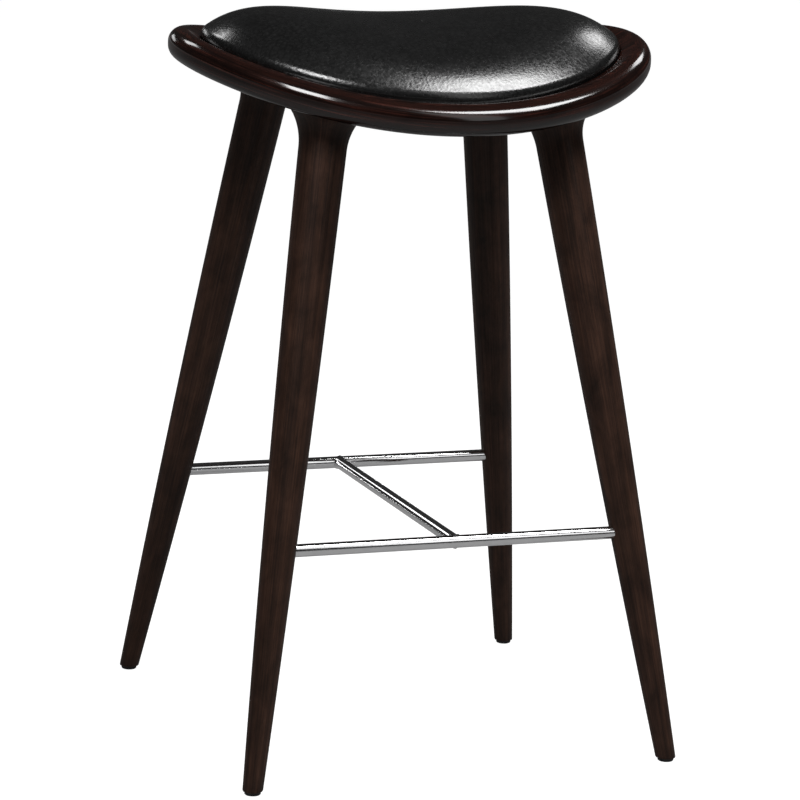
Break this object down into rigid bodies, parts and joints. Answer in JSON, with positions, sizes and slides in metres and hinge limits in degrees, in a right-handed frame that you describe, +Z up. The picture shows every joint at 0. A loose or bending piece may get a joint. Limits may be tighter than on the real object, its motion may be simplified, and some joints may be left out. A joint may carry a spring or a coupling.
{
  "type": "bar stool",
  "caption": "Free-standing bar stool: oval saddle seat with an inset leather pad, splayed tapering legs that flare at the head, and a low H-shaped rod footrest.",
  "frame": {"origin": "on the floor, midway between the four feet", "axes": "+Z up, -Y to the front of the stool, +X to the right as seen from the front"},
  "size_m": [0.468, 0.4354, 0.6905],
  "materials": {
    "stained_wood": "espresso stain under satin lacquer",
    "black_leather": "fine-grained, semi-gloss",
    "plywood": "bare moulded plywood",
    "foam": null,
    "chromed_steel": "polished",
    "zinc_steel": "zinc plated",
    "insert_brass": "turned",
    "beech_dowel": "bare beech",
    "black_plastic": "matt"
  },
  "bodies": {
    "root": {"seat_shell": "stained_wood", "leg_front_left": "stained_wood", "leg_front_right": "stained_wood", "leg_rear_left": "stained_wood", "leg_rear_right": "stained_wood", "pad_cover": "black_leather", "pad_board": "plywood", "pad_foam": "foam", "footrest_front_rod": "chromed_steel", "footrest_rear_rod": "chromed_steel", "footrest_cross_rod": "chromed_steel", "pad_staples": "zinc_steel", "pad_screws": "zinc_steel", "pad_screw_washers": "zinc_steel", "pad_tee_nuts": "zinc_steel", "leg_bolts": "zinc_steel", "leg_bolt_washers": "zinc_steel", "glide_nails": "zinc_steel", "leg_inserts": "insert_brass", "leg_dowels": "beech_dowel", "glide_front_left": "black_plastic", "glide_front_right": "black_plastic", "glide_rear_left": "black_plastic", "glide_rear_right": "black_plastic"}
  },
  "joints": []
}
